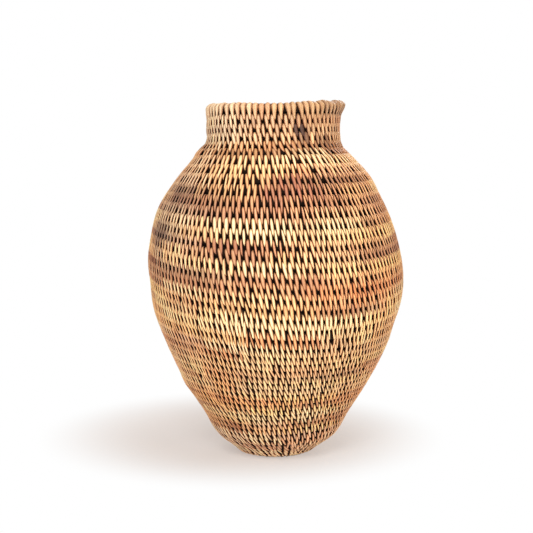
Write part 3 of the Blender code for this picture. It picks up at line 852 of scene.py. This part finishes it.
class Sewing:
    """All splints as one run of rings: their skin points, colours and fibre coordinates, and where they end."""

    def __init__(self, coil):
        self.places, aims = sew(coil)
        count = len(self.places)
        self.stations = len(STITCH_PATH)
        splint = splint_numbers(count)
        centre, normal, width, thickness = stitch_rings(coil, self.places, aims)
        points = settle(ribbon_points(centre, normal, width, thickness))
        # What would sink into the floor is pressed together just above it
        height = points[..., 2]
        points[..., 2] = np.maximum(height, FLOOR_GAP * np.exp(np.minimum(height / FLOOR_GAP - 1, 0.0)))
        self.points = points
        flat, _ = coil.middle(self.places)
        colours = splint_colours(coil.angle(self.places), flat[:, 1], splint, splint[-1] + 1)
        self.colours = self.paint(colours, coil.rim_share(self.places))
        steps = np.linalg.norm(np.diff(centre.reshape(-1, 3), axis=0), axis=1)
        self.lengthwise = np.repeat(np.concatenate([[0.0], np.cumsum(steps)]), len(SECTION))
        self.sideways = (SECTION[:, 0] * width.reshape(-1, 1) / 2).ravel()
        self.broken = np.zeros(count * self.stations, bool)
        starts = np.flatnonzero(np.diff(splint)) + 1
        on_rim = coil.rim_share(self.places[starts]) > 0
        inner_end = starts * self.stations + FIRST_OWN_STATION - 1
        lower_end = (starts - 1) * self.stations + LOWEST_STATION
        self.broken[np.where(on_rim, lower_end, inner_end)] = True

    def paint(self, colours, rim_share):
        """Colours of all skin points: painted highlights on the crowns, painted shade on the edges and where a
        splint goes into the wall.
        """
        before = np.concatenate([colours[:1], colours[:-1]])
        own = (np.arange(self.stations) >= FIRST_OWN_STATION)[None, :, None]
        flank = np.where(own, colours[:, None, :], before[:, None, :])
        # Painted highlight: the crown of each splint is painted paler, the more so the greener its colour
        highlight_share = np.clip(flank[..., 1:2] / FULL_HIGHLIGHT_GREEN, 0.0, 1.0)
        crown_highlight = np.minimum(flank * (1 + (CROWN_HIGHLIGHT_TINT - 1) * highlight_share), HIGHLIGHT_CEILING)
        at_rim = PATH["upper"][None, :, None] * rim_share[:, None, None]
        # Painted shade: a splint darkens where it goes down into the wall between stitches, but not on the rim's
        # wraps
        recess_shade = np.maximum(PATH["light"][None, :, None], at_rim) ** np.array(SHADE_POWERS)
        # Painted shade also darkens each splint's edges nearly to black, less so on the rim's wraps
        rim_unshaded = RIM_UNSHADED_SHARE * at_rim[..., None]
        across = np.concatenate([EDGE_SHADE_TINTS, EDGE_SHADE_TINTS[::-1]])
        strips = np.stack([flank, flank, crown_highlight, crown_highlight, flank, flank], axis=2) * recess_shade[:, :, None, :]
        return (strips * (across * (1 - rim_unshaded) + rim_unshaded)).reshape(-1, 3)

    def build(self, name, low, high, material):
        """The splints between two counts of turns; every length of them starts and ends inside the wall."""
        first, last = np.searchsorted(self.places, (low, high))
        start = first * self.stations + (FIRST_OWN_STATION if first else 0)
        end = min(last * self.stations + FIRST_OWN_STATION, len(self.broken))
        broken = self.broken[start:end].copy()
        broken[-1] = True
        skin = slice(start * len(SECTION), end * len(SECTION))
        quads, caps = tube_faces(len(SECTION), broken)
        made = mesh_object(name, self.points.reshape(-1, 3)[skin], quads, caps)
        add_layer(made, "splint_colour", "FLOAT_COLOR", "color", np.insert(self.colours[skin], 3, 1.0, axis=1))
        add_layer(made, "lengthwise", "FLOAT", "value", self.lengthwise[skin])
        add_layer(made, "sideways", "FLOAT", "value", self.sideways[skin])
        made.data.materials.append(material)
        return made


# Finishes: the splints' fibres as noise, stretched along and across, with the places on it and the colours of
# furrows and ridges, and the rod's stems, mottled between two dark browns, their own colour darkened nearly to
# black as painted shade in the holes between stitches
FIBRE_STRETCH = (90.0, 2600.0, 1.0)
FIBRE_DETAIL = 3.0
FURROW = (0.30, (0.50, 0.36, 0.26, 1.0))
RIDGE = (0.68, (1.15, 1.14, 1.10, 1.0))
FIBRE_SHARE = 0.8
FIBRE_RELIEF = 0.35
FIBRE_HEIGHT = 0.0002
SPLINT_ROUGHNESS = 0.48
STEM_SCALE = 160.0
STEM_DETAIL = 4.0
# Near black: the rod's own dark brown, deepened as painted shade for the holes between stitches
STEM_AND_SHADE_DARK = (0.003, 0.0012, 0.0008, 1.0)
STEM_AND_SHADE_PALE = (0.018, 0.008, 0.004, 1.0)
STEM_ROUGHNESS = 0.8
DULL_SHEEN = 0.1


def new_material(name):
    """A node material, its tree and its Principled shader."""
    material = bpy.data.materials.new(name)
    material.use_nodes = True
    return material, material.node_tree, material.node_tree.nodes["Principled BSDF"]


def add_node(tree, kind, **values):
    """A new shader node, with values for some of its inputs."""
    node = tree.nodes.new(f"ShaderNode{kind}")
    for name, value in values.items():
        node.inputs[name.replace("_", " ")].default_value = value
    return node


def add_attribute(tree, name):
    """A node that reads one of the mesh's own layers."""
    node = add_node(tree, "Attribute")
    node.attribute_name = name
    return node


def splint_material():
    """Split root or palm: fibres along the strip, paler ridges, a faint sheen."""
    material, tree, shader = new_material("splint")
    links = tree.links
    colour = add_attribute(tree, "splint_colour")
    lengthwise = add_attribute(tree, "lengthwise")
    sideways = add_attribute(tree, "sideways")
    place = add_node(tree, "CombineXYZ")
    links.new(lengthwise.outputs["Fac"], place.inputs["X"])
    links.new(sideways.outputs["Fac"], place.inputs["Y"])
    stretch = add_node(tree, "Mapping", Scale=FIBRE_STRETCH)
    links.new(place.outputs["Vector"], stretch.inputs["Vector"])
    fibre = add_node(tree, "TexNoise", Scale=1.0, Detail=FIBRE_DETAIL)
    links.new(stretch.outputs["Vector"], fibre.inputs["Vector"])
    ramp = add_node(tree, "ValToRGB")
    for element, (position, tint) in zip(ramp.color_ramp.elements, (FURROW, RIDGE)):
        element.position = position
        element.color = tint
    links.new(fibre.outputs["Fac"], ramp.inputs["Fac"])
    mix = add_node(tree, "Mix")
    mix.data_type = "RGBA"
    mix.blend_type = "MULTIPLY"
    mix.inputs["Factor"].default_value = FIBRE_SHARE
    links.new(colour.outputs["Color"], mix.inputs["A"])
    links.new(ramp.outputs["Color"], mix.inputs["B"])
    links.new(mix.outputs["Result"], shader.inputs["Base Color"])
    relief = add_node(tree, "Bump", Strength=FIBRE_RELIEF, Distance=FIBRE_HEIGHT)
    links.new(fibre.outputs["Fac"], relief.inputs["Height"])
    links.new(relief.outputs["Normal"], shader.inputs["Normal"])
    shader.inputs["Roughness"].default_value = SPLINT_ROUGHNESS
    return material


def rod_material():
    """Dark brown stems, mottled along their length, so nearly black that they are also painted shade in the holes
    between stitches.
    """
    material, tree, shader = new_material("rod")
    links = tree.links
    place = add_node(tree, "TexCoord")
    mottle = add_node(tree, "TexNoise", Scale=STEM_SCALE, Detail=STEM_DETAIL)
    links.new(place.outputs["Object"], mottle.inputs["Vector"])
    ramp = add_node(tree, "ValToRGB")
    ramp.color_ramp.elements[0].color = STEM_AND_SHADE_DARK
    ramp.color_ramp.elements[1].color = STEM_AND_SHADE_PALE
    links.new(mottle.outputs["Fac"], ramp.inputs["Fac"])
    links.new(ramp.outputs["Color"], shader.inputs["Base Color"])
    shader.inputs["Roughness"].default_value = STEM_ROUGHNESS
    shader.inputs["Specular IOR Level"].default_value = DULL_SHEEN
    return material


def build_basket():
    """All rods and stitches, one piece of each for every length of rod in the solids."""
    coil = Coil(Track())
    sewing = Sewing(coil)
    splint_finish = splint_material()
    rod_finish = rod_material()
    for name, low, high in node_cuts(coil):
        rod = build_rod(coil, f"{name}_rod", low, high, rod_finish)
        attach(rod, "root")
        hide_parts(name)
        # The first and the last length also take the stitches before the rod's start and past its end
        if name == "base_coil":
            low = -1.0
            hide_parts("start_knot")
        if name == "rim_coil":
            high = coil.turns + 1.0
            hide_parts("rim_binding")
        stitches = sewing.build(f"{name}_stitches", low, high, splint_finish)
        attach(stitches, "root")
        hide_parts(name)


# The floor fades into the white background between two distances from the shadow's middle. Nearer, an even pinkish
# grey glow for the camera covers so much of it: a painted shadow round the basket.
FLOOR_SIZE = 6.0
SHADOW_MIDDLE = (-0.030, 0.055, 0.0)
FADE_FROM = 0.07
FADE_TO = 0.19
FLOOR_COLOUR = (0.86, 0.85, 0.84, 1.0)
FLOOR_ROUGHNESS = 0.9
PAINTED_SHADOW_TONE = (0.71, 0.62, 0.57, 1.0)
PAINTED_SHADOW_COVER = 0.66
WHITE = (1.0, 1.0, 1.0, 1.0)


def build_stage():
    """A plain pale floor with a painted shadow round the basket, fading into a white background."""
    bpy.ops.mesh.primitive_plane_add(size=FLOOR_SIZE, location=SHADOW_MIDDLE)
    floor = bpy.context.object
    floor.name = "floor"
    material, tree, shader = new_material("floor")
    shader.inputs["Base Color"].default_value = FLOOR_COLOUR
    shader.inputs["Roughness"].default_value = FLOOR_ROUGHNESS
    shader.inputs["Specular IOR Level"].default_value = DULL_SHEEN
    links = tree.links
    place = add_node(tree, "TexCoord")
    length = add_node(tree, "VectorMath")
    length.operation = "LENGTH"
    links.new(place.outputs["Object"], length.inputs[0])
    fade = add_node(tree, "MapRange", From_Min=FADE_FROM, From_Max=FADE_TO)
    fade.interpolation_type = "SMOOTHSTEP"
    links.new(length.outputs["Value"], fade.inputs["Value"])
    # Painted shadow: near the basket the camera sees an even pinkish grey glow over most of the floor's own
    # shading
    tone = add_node(tree, "Mix")
    tone.data_type = "RGBA"
    tone.inputs["A"].default_value = PAINTED_SHADOW_TONE
    tone.inputs["B"].default_value = WHITE
    links.new(fade.outputs["Result"], tone.inputs["Factor"])
    glow = add_node(tree, "Emission")
    links.new(tone.outputs["Result"], glow.inputs["Color"])
    shadow_cover = add_node(tree, "MapRange", To_Min=PAINTED_SHADOW_COVER)
    links.new(fade.outputs["Result"], shadow_cover.inputs["Value"])
    path = add_node(tree, "LightPath")
    seen = add_node(tree, "Math")
    seen.operation = "MULTIPLY"
    links.new(path.outputs["Is Camera Ray"], seen.inputs[0])
    links.new(shadow_cover.outputs["Result"], seen.inputs[1])
    mix = add_node(tree, "MixShader")
    links.new(seen.outputs["Value"], mix.inputs["Fac"])
    links.new(shader.outputs["BSDF"], mix.inputs[1])
    links.new(glow.outputs["Emission"], mix.inputs[2])
    links.new(mix.outputs["Shader"], tree.nodes["Material Output"].inputs["Surface"])
    floor.data.materials.append(material)


# How much of its white the room sheds on the basket
ROOM_LIGHT = 0.38
# Lamps: place, the height on the axis that they point at, size, power and colour
LAMPS = {
    "key": ((-0.25, -1.35, 1.15), 0.15, 0.6, 18.2),
    "fill": ((0.9, -1.1, 0.5), 0.15, 0.8, 6.0, (1.0, 0.86, 0.70)),
    "low_fill": ((-0.1, -1.5, 0.2), 0.15, 0.5, 6.3),
    "top": ((0.25, 0.2, 1.6), 0.20, 0.7, 7.0),
    "back": ((0.5, 1.4, 0.8), 0.15, 0.9, 8.0),
    "left": ((-1.2, -0.3, 0.9), 0.15, 0.6, 2.5, (0.90, 0.95, 1.0)),
    "right": ((1.2, -0.2, 0.8), 0.15, 0.6, 2.0, (1.0, 0.95, 0.90)),
}
# The camera: its lens, its place and how many degrees it looks down
FOCAL_LENGTH = 109.0
CAMERA_PLACE = (-0.0075, -1.378, 0.3586)
CAMERA_DIP = 8.12


def area_light(name, place, aim_height, size, power, colour=(1.0, 1.0, 1.0)):
    """A soft square lamp that points at the basket's axis."""
    lamp = bpy.data.lights.new(name, "AREA")
    lamp.color = colour
    lamp.size = size
    lamp.energy = power
    made = bpy.data.objects.new(name, lamp)
    made.location = place
    aim = Vector((0.0, 0.0, aim_height)) - Vector(place)
    made.rotation_euler = aim.to_track_quat("-Z", "Y").to_euler()
    bpy.context.scene.collection.objects.link(made)


def build_light():
    """A white room and soft lamps round the basket."""
    world = bpy.data.worlds.new("studio")
    bpy.context.scene.world = world
    world.use_nodes = True
    tree = world.node_tree
    background = tree.nodes["Background"]
    path = add_node(tree, "LightPath")
    strength = add_node(tree, "MapRange", To_Min=ROOM_LIGHT)
    tree.links.new(path.outputs["Is Camera Ray"], strength.inputs["Value"])
    tree.links.new(strength.outputs["Result"], background.inputs["Strength"])
    background.inputs["Color"].default_value = WHITE
    for name, lamp in LAMPS.items():
        area_light(name, *lamp)


def build_camera():
    """The camera stands where the photograph was taken from."""
    lens = bpy.data.cameras.new("camera")
    lens.lens = FOCAL_LENGTH
    made = bpy.data.objects.new("camera", lens)
    made.location = CAMERA_PLACE
    made.rotation_euler = (math.radians(90.0 - CAMERA_DIP), 0.0, 0.0)
    bpy.context.scene.collection.objects.link(made)
    bpy.context.scene.camera = made


bpy.context.scene.view_settings.view_transform = "Standard"
build_basket()
build_stage()
build_light()
build_camera()
